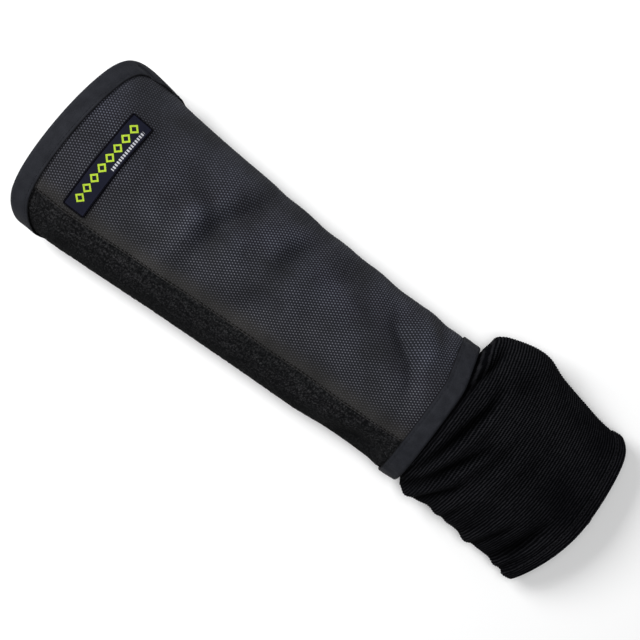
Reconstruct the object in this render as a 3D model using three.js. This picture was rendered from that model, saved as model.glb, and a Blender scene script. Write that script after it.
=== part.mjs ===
// A cut resistant forearm sleeve, lying on a table with its long outer side up.
// X runs from the upper opening to the hand, Y runs across the sleeve and Z is up.
// Two cloth panels are sewn into a tapered tube that is taped at both edges. A knitted cuff is sewn in at the
// wrist.
import * as THREE from "three";

const { lerp, clamp, smoothstep, degToRad, radToDeg, euclideanModulo } = THREE.MathUtils;

// Driving dimensions, in millimetres and degrees
const BODY_LENGTH = 346; // rim edge to wrist edge, along the long outer side
const CUFF_LENGTH = 134; // knit that shows past the wrist edge
const RIM_WIDTH = 148; // across the tube as it lies
const RIM_HEIGHT = 66;
const WRIST_WIDTH = 114;
const WRIST_HEIGHT = 54;
const RIM_SLANT = 62; // how much shorter the tube is on its inner-arm side
const WRIST_DIP = 6; // how far the wrist edge is drawn back on the +Y side
const WRIST_DIP_REACH = 70; // and how far round from there it is
const PANEL_WALL = 2; // laminated guard cloth
const UNDER_WALL = 1.5; // softer cloth of the underside
const TAPE_WALL = 1; // binding tape
const TAPE_WIDTH = 13; // each leg of the folded tape
const CUFF_WALL = 1.6; // knit
const CUFF_TUCK = 12; // knit that is sewn in behind the wrist tape
const CUFF_BLOOM = 7; // the knit opens to its full width over this length
const HEM_WIDTH = 9; // turned hem at the end of the cuff
const HEM_RISE = 0.8;
const CUFF_SHORT_OUTER = 6; // the cuff's end is this much shorter at its +Y side than on top
const CUFF_SHORT_INNER = 19; // and this much at its -Y side
const LABEL_LENGTH = 83; // across the sleeve
const LABEL_WIDTH = 19;
const LABEL_WALL = 0.8;
const LABEL_FROM_RIM = 37.5;
const LABEL_OFF_CENTRE = -1.5; // towards the seam that shows
const LABEL_TILT = 2.3; // its +Y end lies nearer to the wrist
const LAYER_GAP = 0.3; // between layers, and between the edges of two panels
const SEAM_ANGLE = 131; // the seam that shows, round from the +Y side over the top
const HIDDEN_SEAM_ANGLE = -40; // the other seam, under the +Y side
const TUBE_TWIST = -7.5; // the tube turns by this between rim and wrist
const WAIST_SHARE = 0.42; // the tube is widest at this share of its height
const BELLY_SHARE = 1.5; // the underside would bulge this far below the waist, as a share of its height
const EASE_SHARE = 0.38; // the cloth turns from its side to the table over this share of it
const REST_START = 6; // the cloth starts down from a tape to the table this far past it
const REST_END = 24; // and lies on the table this far past it
const DENTS_END = -30; // dents of the upper side end this far below its two edges
const DENTS_FULL = 6;

// The rim's line round the tube. round: degrees from the +Y side over the top.
// back: how far the edge is drawn back from the longest point, as a share of RIM_SLANT.
const RIM_LINE = [
  { round: -90, back: 1 },
  { round: -40, back: 0.98 },
  { round: -26, back: 0.92 },
  { round: -10, back: 0.75 },
  { round: 9, back: 0.37 },
  { round: 24, back: 0.2 },
  { round: 57, back: 0.08 },
  { round: 105, back: 0 },
  { round: 140, back: 0.02 },
  { round: 166, back: 0.15 },
  { round: 200, back: 0.38 },
  { round: 235, back: 0.8 },
  { round: 270, back: 1 },
];

// The tube as it lies. along: share of BODY_LENGTH. wide: 1 is the rim's width and height, 0 the wrist's.
// shift: sideways, as a share of WRIST_WIDTH.
const BODY_SECTIONS = [
  { along: 0, wide: 0.92, shift: 0.024 },
  { along: 0.06, wide: 0.93, shift: 0.019 },
  { along: 0.11, wide: 0.88, shift: 0.006 },
  { along: 0.19, wide: 0.71, shift: -0.012 },
  { along: 0.28, wide: 0.58, shift: -0.02 },
  { along: 0.41, wide: 0.43, shift: -0.026 },
  { along: 0.6, wide: 0.24, shift: -0.037 },
  { along: 0.79, wide: 0.1, shift: -0.047 },
  { along: 0.9, wide: 0.03, shift: -0.052 },
  { along: 1, wide: -0.01, shift: -0.043 },
];

// The knitted cuff as it lies. along: share of CUFF_LENGTH from the wrist edge. outer and inner: how far
// it reaches to the +Y and -Y side, as shares of half the WRIST_WIDTH. high: share of WRIST_HEIGHT.
const CUFF_SECTIONS = [
  { along: 0, outer: 1.13, inner: 1.09, high: 0.94 },
  { along: 0.05, outer: 1.25, inner: 1.15, high: 0.98 },
  { along: 0.13, outer: 1.325, inner: 1.186, high: 1.0 },
  { along: 0.24, outer: 1.37, inner: 1.144, high: 0.98 },
  { along: 0.32, outer: 1.355, inner: 1.156, high: 0.94 },
  { along: 0.42, outer: 1.265, inner: 1.173, high: 0.88 },
  { along: 0.5, outer: 1.215, inner: 1.205, high: 0.83 },
  { along: 0.6, outer: 1.163, inner: 1.22, high: 0.78 },
  { along: 0.73, outer: 1.098, inner: 1.24, high: 0.7 },
  { along: 0.82, outer: 1.075, inner: 1.265, high: 0.65 },
  { along: 0.9, outer: 1.085, inner: 1.24, high: 0.61 },
  { along: 1, outer: 1.07, inner: 1.2, high: 0.57 },
];

// Soft dents and ridges of the tube's upper side. along: share of BODY_LENGTH. across: share of the half
// width there, + to +Y. turn: degrees from X towards Y. long, broad and rise: shares of WRIST_WIDTH.
const BODY_DENTS = [
  { along: 0.32, across: -0.25, turn: 75, long: 0.22, broad: 0.09, rise: 0.02 },
  { along: 0.38, across: 0.05, turn: 82, long: 0.22, broad: 0.08, rise: -0.03 },
  { along: 0.42, across: 0.5, turn: 60, long: 0.26, broad: 0.08, rise: -0.035 },
  { along: 0.56, across: 0.65, turn: 70, long: 0.2, broad: 0.13, rise: -0.03 },
  { along: 0.67, across: 0.63, turn: 80, long: 0.18, broad: 0.11, rise: -0.025 },
  { along: 0.55, across: -0.32, turn: 60, long: 0.16, broad: 0.13, rise: -0.02 },
  { along: 0.84, across: 0.47, turn: -50, long: 0.3, broad: 0.08, rise: -0.035 },
  { along: 0.88, across: 0.82, turn: -50, long: 0.14, broad: 0.08, rise: 0.015 },
  { along: 0.91, across: -0.85, turn: 10, long: 0.26, broad: 0.1, rise: -0.04 },
];

// Folds of the knit's upper side. along: share of CUFF_LENGTH. across: share of half the WRIST_WIDTH,
// + to +Y. turn: degrees from X towards Y. long, broad and rise: shares of WRIST_WIDTH.
const CUFF_FOLDS = [
  { along: 0.06, across: 0.85, turn: 80, long: 0.14, broad: 0.06, rise: -0.05 },
  { along: 0.14, across: -0.66, turn: 66, long: 0.26, broad: 0.05, rise: -0.04 },
  { along: 0.11, across: -0.15, turn: 84, long: 0.3, broad: 0.05, rise: -0.035 },
  { along: 0.28, across: -0.95, turn: 58, long: 0.25, broad: 0.05, rise: -0.03 },
  { along: 0.44, across: -1.1, turn: 62, long: 0.24, broad: 0.05, rise: -0.02 },
  { along: 0.63, across: -1.15, turn: 62, long: 0.22, broad: 0.05, rise: -0.025 },
  { along: 0.74, across: -0.81, turn: 61, long: 0.22, broad: 0.05, rise: -0.04 },
];

// How finely each piece is faceted
const PANEL_STATIONS = 22;
const OUTER_COLUMNS = 24;
const UNDER_COLUMNS = 22;
const CUFF_STATIONS = 15;
const BLOOM_STEPS = 4;
const FOLD_STEPS = 3;
const RIM_LEG_STEPS = 2;
const LABEL_ROWS = 3;
const LABEL_COLUMNS = 12;
const WALK_STEPS = 8;

// Derived sizes
const UNDER_DROP = PANEL_WALL - UNDER_WALL; // the underside cloth lies this much lower than the guard cloth
const TAPE_OUTSIDE = LAYER_GAP + TAPE_WALL; // the tape stands out this far
const TAPE_INSIDE = PANEL_WALL + LAYER_GAP; // and its inner leg starts this far in
const TUCK_DEPTH = TAPE_INSIDE + TAPE_WALL + LAYER_GAP;
const FOLD_REACH = PANEL_WALL / 2 + TAPE_OUTSIDE; // the folded tape passes the cloth's edge by this
const STEP = 0.05; // for slopes taken by small differences

// A column of a table, read smoothly through its rows at a place in its first column.
function readTable(rows, column, place) {
  const [key] = Object.keys(rows[0]);
  const at = clamp(place, rows[0][key], rows[rows.length - 1][key]);
  let row = 0;
  while (row < rows.length - 2 && at > rows[row + 1][key]) row += 1;
  const slope = (index) => {
    const before = rows[Math.max(index - 1, 0)];
    const after = rows[Math.min(index + 1, rows.length - 1)];
    return (after[column] - before[column]) / (after[key] - before[key]);
  };
  const span = rows[row + 1][key] - rows[row][key];
  const t = (at - rows[row][key]) / span;
  return (
    rows[row][column] * (1 + 2 * t) * (1 - t) ** 2 +
    slope(row) * span * t * (1 - t) ** 2 +
    rows[row + 1][column] * t * t * (3 - 2 * t) +
    slope(row + 1) * span * t * t * (t - 1)
  );
}

// The sum of a table's dents at a place in plan.
function dentsAt(rows, x, y, length, halfWidthAt, shiftAt) {
  let rise = 0;
  for (const row of rows) {
    const alongX = x - row.along * length;
    const acrossY = y - shiftAt - row.across * halfWidthAt;
    const turn = degToRad(row.turn);
    const onLength = alongX * Math.cos(turn) + acrossY * Math.sin(turn);
    const onBreadth = acrossY * Math.cos(turn) - alongX * Math.sin(turn);
    const spread =
      (onLength / (row.long * WRIST_WIDTH)) ** 2 + (onBreadth / (row.broad * WRIST_WIDTH)) ** 2;
    rise += row.rise * WRIST_WIDTH * Math.exp(-spread);
  }
  return rise;
}

// Outward unit normal of a surface given as a function of x and angle.
function normalOf(surface, x, angle) {
  const turn = STEP / WRIST_WIDTH;
  const alongX = surface(x + STEP, angle).sub(surface(x - STEP, angle));
  const around = surface(x, angle + turn).sub(surface(x, angle - turn));
  return around.cross(alongX).normalize();
}

// A point that lies a depth inside a surface, or outside it where the depth is negative.
function under(surface, x, angle, depth) {
  return surface(x, angle).addScaledVector(normalOf(surface, x, angle), -depth);
}

// How fast a surface's point moves for each radian round the tube.
function roundSpeed(surface, x, angle) {
  const turn = STEP / WRIST_WIDTH;
  const before = surface(x, angle - turn);
  return surface(x, angle + turn).setX(before.x).distanceTo(before) / (2 * turn);
}

// The angle that lies a distance further round the surface.
function walkRound(surface, x, angle, distance) {
  let at = angle;
  for (let step = 0; step < WALK_STEPS; step += 1) {
    at += distance / WALK_STEPS / roundSpeed(surface, x, at);
  }
  return at;
}

// The greater of two heights, eased where they are less than a reach apart.
function easedMax(first, second, reach) {
  const near = Math.max(reach - Math.abs(first - second), 0) / reach;
  return Math.max(first, second) + (near * near * reach) / 4;
}

// A section of a soft tube that lies on the table: an ellipse above, a flattened one below.
function lyingSection(x, angle, outer, inner, high, floor) {
  const y = (outer + inner) / 2 + ((outer - inner) / 2) * Math.cos(angle);
  const waist = WAIST_SHARE * high;
  const rise = Math.sin(angle);
  const z = rise > 0 ? waist + (high - waist) * rise : waist * (1 + BELLY_SHARE * rise);
  return new THREE.Vector3(x, y, easedMax(z, floor, EASE_SHARE * waist));
}

const sinOf = (degrees) => Math.sin(degToRad(degrees));
const cosOf = (degrees) => Math.cos(degToRad(degrees));

// How much of a dent reaches a point: all of it on top, none underneath.
const topShare = (angle) => smoothstep(Math.sin(angle), sinOf(DENTS_END), sinOf(DENTS_FULL));

// The tube's twist at a place along it.
const twistAt = (x) => degToRad(TUBE_TWIST) * clamp(x / BODY_LENGTH, 0, 1);

function bodySize(x) {
  const share = x / BODY_LENGTH;
  const wide = readTable(BODY_SECTIONS, "wide", share);
  return {
    halfWidth: lerp(WRIST_WIDTH, RIM_WIDTH, wide) / 2,
    high: lerp(WRIST_HEIGHT, RIM_HEIGHT, wide),
    shift: readTable(BODY_SECTIONS, "shift", share) * WRIST_WIDTH,
  };
}

// The x of the rim's edge, round the tube.
function rimEdge(angle) {
  const round = radToDeg(angle);
  return RIM_SLANT * readTable(RIM_LINE, "back", euclideanModulo(round + 90, 360) - 90);
}

// The x of the wrist edge, drawn back on the +Y side.
function wristEdge(angle) {
  const sideways = Math.cos(angle + twistAt(BODY_LENGTH));
  return BODY_LENGTH - WRIST_DIP * smoothstep(sideways, cosOf(WRIST_DIP_REACH), 1);
}

// The x of the cuff's end, shorter at its two sides.
function cuffEdge(angle) {
  const sideways = Math.cos(angle + twistAt(BODY_LENGTH));
  const short = sideways > 0 ? CUFF_SHORT_OUTER : CUFF_SHORT_INNER;
  return BODY_LENGTH + CUFF_LENGTH - short * sideways ** 2;
}

// How far a place is from the nearer edge of the tube, past the tape there.
const pastTapes = (x, angle) => Math.min(x - rimEdge(angle), wristEdge(angle) - x) - TAPE_WIDTH;

// The level that the guard cloth's own face has on the table: higher where the tapes lie under it.
function restLevel(x, angle) {
  return lerp(TAPE_OUTSIDE, -UNDER_DROP, smoothstep(pastTapes(x, angle), REST_START, REST_END));
}

// The face of the tube without its dents.
function smoothBody(x, angle) {
  const { halfWidth, high, shift } = bodySize(x);
  const floor = restLevel(x, angle);
  return lyingSection(x, angle + twistAt(x), shift + halfWidth, shift - halfWidth, high, floor);
}

// The outer face of the tube.
function body(x, angle) {
  const point = smoothBody(x, angle);
  const share = topShare(angle) * smoothstep(pastTapes(x, angle), 0, TAPE_WIDTH);
  if (share === 0) return point;
  const { halfWidth, shift } = bodySize(x);
  const rise = dentsAt(BODY_DENTS, x, point.y, BODY_LENGTH, halfWidth, shift);
  return point.addScaledVector(normalOf(smoothBody, x, angle), rise * share);
}

// The knit's own face past the wrist edge, without its folds.
function smoothKnit(x, angle) {
  const share = (x - BODY_LENGTH) / CUFF_LENGTH;
  const half = WRIST_WIDTH / 2;
  const outer = readTable(CUFF_SECTIONS, "outer", share) * half;
  const inner = -readTable(CUFF_SECTIONS, "inner", share) * half;
  const high = readTable(CUFF_SECTIONS, "high", share) * WRIST_HEIGHT;
  return lyingSection(x, angle + twistAt(BODY_LENGTH), outer, inner, high, 0);
}

// The outer face of the cuff: behind the tape inside the tube, then opening to its own shape.
function cuff(x, angle) {
  const tucked = under(body, Math.min(x, BODY_LENGTH), angle, TUCK_DEPTH).setX(x);
  const open = smoothstep(x - wristEdge(angle) - FOLD_REACH - LAYER_GAP, 0, CUFF_BLOOM);
  if (open === 0) return tucked;
  const point = smoothKnit(x, angle);
  const hem = cuffEdge(angle) - HEM_WIDTH;
  const rise =
    dentsAt(CUFF_FOLDS, x - BODY_LENGTH, point.y, CUFF_LENGTH, WRIST_WIDTH / 2, 0) * topShare(angle) +
    HEM_RISE * smoothstep(x, hem - HEM_RISE, hem);
  point.addScaledVector(normalOf(smoothKnit, x, angle), rise);
  point.setZ(Math.max(point.z, 0));
  return tucked.lerp(point, open);
}

// A closed geometry from vertices and triangles.
function closedGeometry(points, triangles) {
  const geometry = new THREE.BufferGeometry().setFromPoints(points);
  geometry.setIndex(triangles);
  geometry.computeVertexNormals();
  return geometry;
}

// A cloth wall from two grids of points, its outer and its inner face. Each grid is a list of rows along
// the sleeve. The wall is a whole tube where ring is true, and else an open panel.
function wallGeometry(outerFace, innerFace, ring) {
  const rows = outerFace.length;
  const columns = outerFace[0].length;
  const points = [...outerFace.flat(), ...innerFace.flat()];
  const triangles = [];
  const outer = (row, column) => row * columns + (column % columns);
  const inner = (row, column) => rows * columns + outer(row, column);
  const quad = (a, b, c, d) => triangles.push(a, b, c, a, c, d);
  const steps = ring ? columns : columns - 1;
  for (let column = 0; column < steps; column += 1) {
    for (let row = 0; row < rows - 1; row += 1) {
      quad(outer(row, column), outer(row, column + 1), outer(row + 1, column + 1), outer(row + 1, column));
      quad(inner(row, column), inner(row + 1, column), inner(row + 1, column + 1), inner(row, column + 1));
    }
    quad(outer(0, column), inner(0, column), inner(0, column + 1), outer(0, column + 1));
    const end = rows - 1;
    quad(outer(end, column), outer(end, column + 1), inner(end, column + 1), inner(end, column));
  }
  if (!ring) {
    const last = columns - 1;
    for (let row = 0; row < rows - 1; row += 1) {
      quad(outer(row, 0), outer(row + 1, 0), inner(row + 1, 0), inner(row, 0));
      quad(outer(row, last), inner(row, last), inner(row + 1, last), outer(row + 1, last));
    }
  }
  return closedGeometry(points, triangles);
}

// A closed ring from a closed profile, given as one list of points for each profile corner.
function loopGeometry(corners) {
  const count = corners.length;
  const columns = corners[0].length;
  const triangles = [];
  const at = (corner, column) => (corner % count) * columns + (column % columns);
  for (let corner = 0; corner < count; corner += 1) {
    for (let column = 0; column < columns; column += 1) {
      const a = at(corner, column);
      const b = at(corner, column + 1);
      const c = at(corner + 1, column + 1);
      const d = at(corner + 1, column);
      triangles.push(a, b, c, a, c, d);
    }
  }
  return closedGeometry(corners.flat(), triangles);
}

// The angles of the seams and of the lines between them, which every layer shares.
const seam = degToRad(SEAM_ANGLE);
const hiddenSeam = degToRad(HIDDEN_SEAM_ANGLE);
const outerAngles = evenly(hiddenSeam, seam, OUTER_COLUMNS);
const underAngles = evenly(seam, hiddenSeam + 2 * Math.PI, UNDER_COLUMNS);
const ringAngles = [...outerAngles.slice(0, -1), ...underAngles.slice(0, -1)];

function evenly(from, to, steps) {
  return Array.from({ length: steps + 1 }, (_, index) => lerp(from, to, index / steps));
}

// One cloth panel of the tube, between two seams, with half the gap left at each of them.
function panel(angles, outerDepth, innerDepth) {
  const last = angles.length - 1;
  const face = (depth) =>
    evenly(0, 1, PANEL_STATIONS).map((share) =>
      angles.map((angle, column) => {
        const x = lerp(rimEdge(angle), wristEdge(angle), share);
        const inwards = column === 0 ? 1 : column === last ? -1 : 0;
        return under(body, x, walkRound(body, x, angle, (inwards * LAYER_GAP) / 2), depth);
      }),
    );
  return wallGeometry(face(outerDepth), face(innerDepth), false);
}

// The x that lies a distance from an edge's line, measured square to it: on its +X side, or on the other
// where the distance is negative. It is the farthest reach of the circles of that radius on the line.
function besideEdge(edge, angle, distance) {
  const speed = roundSpeed(body, edge(angle), angle);
  const reaches = evenly(-1, 1, 2 * WALK_STEPS).map(
    (share) => edge(angle + (share * distance) / speed) + distance * Math.sqrt(1 - share * share),
  );
  return distance > 0 ? Math.max(...reaches) : Math.min(...reaches);
}

// The folded tape over an edge of the tube. edge gives the edge's x round the tube, and into is 1 where the
// tube lies on its +X side. Each leg is faceted in legSteps strips.
function binding(edge, into, legSteps) {
  const arc = (reach, from, to) =>
    evenly(from, to, FOLD_STEPS).map((turn) => ({
      along: -reach * cosOf(turn),
      depth: PANEL_WALL / 2 + reach * sinOf(turn),
    }));
  const leg = (depth, from, to) => evenly(from, to, legSteps).map((along) => ({ along, depth }));
  const profile = [
    ...leg(-TAPE_OUTSIDE, TAPE_WIDTH, 0).slice(0, -1),
    ...arc(FOLD_REACH, -90, 90),
    ...leg(TAPE_INSIDE + TAPE_WALL, 0, TAPE_WIDTH).slice(1),
    ...leg(TAPE_INSIDE, TAPE_WIDTH, 0).slice(0, -1),
    ...arc(FOLD_REACH - TAPE_WALL, 90, -90),
    ...leg(-LAYER_GAP, 0, TAPE_WIDTH).slice(1),
  ];
  if (into > 0) profile.reverse();
  const corners = profile.map(({ along, depth }) =>
    ringAngles.map((angle) => {
      const x = besideEdge(edge, angle, into * along);
      return under(body, clamp(x, 0, BODY_LENGTH), angle, depth).setX(x);
    }),
  );
  return loopGeometry(corners);
}

// The x of each row of the cuff's grid: one row where the tuck starts, several where the knit opens, even
// rows down to the hem, and one on each side of the hem.
function cuffRows(angle) {
  const open = wristEdge(angle) + FOLD_REACH + LAYER_GAP;
  const hem = cuffEdge(angle) - HEM_WIDTH;
  return [
    wristEdge(angle) - CUFF_TUCK,
    ...evenly(open, open + CUFF_BLOOM, BLOOM_STEPS),
    ...evenly(open + CUFF_BLOOM, hem - HEM_RISE, CUFF_STATIONS).slice(1),
    hem,
    cuffEdge(angle),
  ];
}

function knitCuff() {
  const face = (depth) => {
    const rings = ringAngles.map((angle) => cuffRows(angle).map((x) => under(cuff, x, angle, depth)));
    return rings[0].map((_, row) => rings.map((ring) => ring[row]));
  };
  return wallGeometry(face(0), face(CUFF_WALL), true);
}

// The label lies across the top of the tube, near the rim.
function label() {
  const tilt = Math.tan(degToRad(LABEL_TILT));
  const half = LABEL_LENGTH / 2;
  const face = (depth) =>
    evenly(0, LABEL_WIDTH, LABEL_ROWS).map((back) =>
      evenly(half, -half, LABEL_COLUMNS).map((aside) => {
        const x = LABEL_FROM_RIM + back + tilt * aside;
        return under(body, x, walkRound(body, x, Math.PI / 2, -LABEL_OFF_CENTRE - aside), depth);
      }),
    );
  return wallGeometry(face(-LAYER_GAP - LABEL_WALL), face(-LAYER_GAP), false);
}

const guardCloth = new THREE.MeshStandardMaterial({ color: 0x3a3b40, roughness: 0.75, metalness: 0 });
const underCloth = new THREE.MeshStandardMaterial({ color: 0x1b1b1c, roughness: 0.95, metalness: 0 });
const tape = new THREE.MeshStandardMaterial({ color: 0x33353a, roughness: 0.7, metalness: 0 });
const knit = new THREE.MeshStandardMaterial({ color: 0x101113, roughness: 0.95, metalness: 0 });
const labelCloth = new THREE.MeshStandardMaterial({ color: 0x23252f, roughness: 0.6, metalness: 0 });

function piece(name, geometry, material) {
  const mesh = new THREE.Mesh(geometry, material);
  mesh.name = name;
  return mesh;
}

const sleeve = new THREE.Group();
sleeve.add(
  piece("outer_panel", panel(outerAngles, 0, PANEL_WALL), guardCloth),
  piece("under_panel", panel(underAngles, UNDER_DROP, PANEL_WALL), underCloth),
  piece("rim_binding", binding(rimEdge, 1, RIM_LEG_STEPS), tape),
  piece("wrist_binding", binding(wristEdge, -1, 1), tape),
  piece("knit_cuff", knitCuff(), knit),
  piece("label", label(), labelCloth),
);

// The origin is on the table, under the middle of the sleeve.
const box = new THREE.Box3().setFromObject(sleeve);
const middle = box.getCenter(new THREE.Vector3());
sleeve.position.set(-middle.x, -middle.y, -box.min.z);

export default sleeve;
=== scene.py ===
# A cut resistant forearm sleeve, lying on a table with its long outer side up, seen from straight above.
# Lengths are in millimetres along the sleeve's own axes, until a mesh is made: X = 0 is the longest point of
# the upper edge, Y = 0 the middle line and Z = 0 the table. Angles run round the tube from its +Y side over
# the top.
import math

import bpy
import numpy as np
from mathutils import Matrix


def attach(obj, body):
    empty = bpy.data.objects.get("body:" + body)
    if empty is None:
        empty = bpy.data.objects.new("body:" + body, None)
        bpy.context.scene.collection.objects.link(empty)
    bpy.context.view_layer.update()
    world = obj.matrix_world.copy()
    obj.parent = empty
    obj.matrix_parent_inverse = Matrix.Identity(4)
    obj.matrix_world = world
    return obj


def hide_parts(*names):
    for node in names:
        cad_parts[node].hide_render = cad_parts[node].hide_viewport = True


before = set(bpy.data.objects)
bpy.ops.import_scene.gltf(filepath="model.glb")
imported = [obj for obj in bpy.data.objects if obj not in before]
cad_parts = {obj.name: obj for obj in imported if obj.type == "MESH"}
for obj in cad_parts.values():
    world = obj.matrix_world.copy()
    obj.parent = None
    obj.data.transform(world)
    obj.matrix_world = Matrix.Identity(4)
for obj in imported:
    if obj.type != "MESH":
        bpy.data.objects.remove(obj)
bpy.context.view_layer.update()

# The camera, the table and the light.
# The sleeve lies on a pale table under a wide soft light from the upper left of the picture, and the camera
# looks straight down on it.
CAMERA_PLACE = (-0.0051, -0.0028, 1.1)  # metres
CAMERA_TURN = 36.1  # degrees, the picture's right side from the sleeve's X axis
CAMERA_LENS = 82.2
SENSOR_WIDTH = 36.0
TABLE_SIZE = 6.0
TABLE_COLOUR = (0.93, 0.93, 0.93)
TABLE_SPOTS = (0.916, 0.916, 0.916)
SKY_COLOUR = (0.97, 0.985, 1.0)
SKY_STRENGTH = 0.16
LIGHTS = (
    # name, place, width and height in metres, power in watts
    ("window", (-1.25, 0.0, 1.1), (0.9, 0.9), 26.0),
    ("ceiling", (0.1, 0.1, 1.9), (1.0, 1.0), 20.0),
)


def placed(name, data):
    """A new object of the scene."""
    item = bpy.data.objects.new(name, data)
    bpy.context.scene.collection.objects.link(item)
    return item


camera_data = bpy.data.cameras.new("camera")
camera_data.lens = CAMERA_LENS
camera_data.sensor_width = SENSOR_WIDTH
camera = placed("camera", camera_data)
camera.location = CAMERA_PLACE
camera.rotation_euler = (0.0, 0.0, math.radians(CAMERA_TURN))
bpy.context.scene.camera = camera

for light_name, place, size, power in LIGHTS:
    light_data = bpy.data.lights.new(light_name, "AREA")
    light_data.shape = "RECTANGLE"
    light_data.size = size[0]
    light_data.size_y = size[1]
    light_data.energy = power
    light = placed(light_name, light_data)
    light.location = place
    to_middle = -light.location
    light.rotation_euler = to_middle.to_track_quat("-Z", "Y").to_euler()

world = bpy.data.worlds.new("soft_sky")
world.use_nodes = True
sky = world.node_tree.nodes["Background"]
sky.inputs["Color"].default_value = (*SKY_COLOUR, 1.0)
sky.inputs["Strength"].default_value = SKY_STRENGTH
bpy.context.scene.world = world
bpy.context.scene.view_settings.view_transform = "Standard"


def added_node(tree, kind, inputs, **settings):
    """A new node. Its inputs are numbers, colours, names or other nodes' outputs."""
    node = tree.nodes.new(kind)
    for name, value in settings.items():
        setattr(node, name, value)
    for key, value in inputs.items():
        if isinstance(value, bpy.types.NodeSocket):
            tree.links.new(value, node.inputs[key])
        elif isinstance(value, tuple):
            node.inputs[key].default_value = (*value, 1.0)
        else:
            node.inputs[key].default_value = value
    return node


def number_node(operation, first, *others):
    """A Math node on another node's output and on numbers or further outputs."""
    values = dict(enumerate((first, *others)))
    return added_node(first.id_data, "ShaderNodeMath", values, operation=operation).outputs[0]


def scaled(value, factor, start=0.0):
    """An output times a factor, with a start added. The factor and the start may be outputs too."""
    return number_node("MULTIPLY_ADD", value, factor, start)


def eased_step(value, low, high):
    """0 at low, 1 at high, a smooth change between them and none outside."""
    inputs = {"Value": value, "From Min": low, "From Max": high}
    node = added_node(value.id_data, "ShaderNodeMapRange", inputs, interpolation_type="SMOOTHSTEP")
    return node.outputs["Result"]


def speckle(vector, scale, detail=2.0):
    """Soft random values from 0 to 1 with a given number of spots to a unit."""
    inputs = {"Vector": vector, "Scale": scale, "Detail": detail}
    return added_node(vector.id_data, "ShaderNodeTexNoise", inputs).outputs["Fac"]


def mixed_colour(share, first, second):
    """A colour between two, which are colours or other nodes' outputs."""
    inputs = {"Factor": share, "A": first, "B": second}
    return added_node(share.id_data, "ShaderNodeMix", inputs, data_type="RGBA").outputs["Result"]


def scaled_colour(colour, factor):
    """A colour made lighter or darker by a number that varies."""
    inputs = {0: colour, "Scale": factor}
    return added_node(colour.id_data, "ShaderNodeVectorMath", inputs, operation="SCALE").outputs[0]


def plain_material(name, roughness, specular=0.3):
    """A material and its one shader, ready for colour and relief."""
    material = bpy.data.materials.new(name)
    material.use_nodes = True
    shader = material.node_tree.nodes["Principled BSDF"]
    shader.inputs["Roughness"].default_value = roughness
    shader.inputs["Specular IOR Level"].default_value = specular
    return material, shader


def surfaced(shader, colour, height=None, relief=0.0, roughness=None):
    """Gives a material its colour, fine relief from a height between 0 and 1, and an uneven gloss. relief is
    in metres."""
    tree = shader.id_data
    tree.links.new(colour, shader.inputs["Base Color"])
    if roughness is not None:
        tree.links.new(roughness, shader.inputs["Roughness"])
    if height is not None:
        bump = added_node(tree, "ShaderNodeBump", {"Height": height, "Distance": relief, "Strength": 1.0})
        tree.links.new(bump.outputs["Normal"], shader.inputs["Normal"])


table_mesh = bpy.data.meshes.new("table")
half_table = TABLE_SIZE / 2
corner_sides = ((-1, -1), (1, -1), (1, 1), (-1, 1))
table_corners = [(side * half_table, ahead * half_table, 0) for side, ahead in corner_sides]
table_mesh.from_pydata(table_corners, [], [(0, 1, 2, 3)])
table_material, table_shader = plain_material("pale_table", 0.9)
table_place = added_node(table_shader.id_data, "ShaderNodeTexCoord", {}).outputs["Object"]
surfaced(table_shader, mixed_colour(speckle(table_place, 3.0), TABLE_COLOUR, TABLE_SPOTS))
table_mesh.materials.append(table_material)
table = placed("table", table_mesh)

# The outer panel.
# The large panel of the upper side is thick guard cloth: a coarse plain weave of dark grey yarn on a thin
# backing, 2 mm in all. It is cut as one piece and sewn to the underside cloth along two seams.
BODY_LENGTH = 346
CUFF_LENGTH = 134
RIM_WIDTH = 148
RIM_HEIGHT = 66
WRIST_WIDTH = 114
WRIST_HEIGHT = 54
RIM_SLANT = 62
WRIST_DIP = 6
WRIST_DIP_REACH = math.radians(70)
PANEL_WALL = 2
UNDER_DROP = 0.5
TAPE_WALL = 1
TAPE_WIDTH = 13
LAYER_GAP = 0.3
SEAM = math.radians(131)
HIDDEN_SEAM = math.radians(-40)
TUBE_TWIST = math.radians(-7.5)
WAIST_SHARE = 0.42
BELLY_SHARE = 1.5
EASE_SHARE = 0.38
REST_START = 6
REST_END = 24
DENTS_END = math.sin(math.radians(-30))
DENTS_FULL = math.sin(math.radians(6))
MIDDLE = np.array([238.9, 2.8, 0.0])  # the middle of the lying sleeve
STEP = 0.05  # how far apart slopes are measured
TAPE_OUTSIDE = LAYER_GAP + TAPE_WALL
TAPE_INSIDE = PANEL_WALL + LAYER_GAP
TUCK_DEPTH = TAPE_INSIDE + TAPE_WALL + LAYER_GAP
FOLD_REACH = PANEL_WALL / 2 + TAPE_OUTSIDE

RIM_LINE = {
    "round": [-90, -40, -26, -10, 9, 24, 57, 105, 140, 166, 200, 235, 270],
    "back": [1, 0.98, 0.92, 0.75, 0.37, 0.2, 0.08, 0, 0.02, 0.15, 0.38, 0.8, 1],
}
BODY_SECTIONS = {
    "along": [0, 0.06, 0.11, 0.19, 0.28, 0.41, 0.6, 0.79, 0.9, 1],
    "wide": [0.92, 0.93, 0.88, 0.71, 0.58, 0.43, 0.24, 0.1, 0.03, -0.01],
    "shift": [0.024, 0.019, 0.006, -0.012, -0.02, -0.026, -0.037, -0.047, -0.052, -0.043],
}
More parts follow.
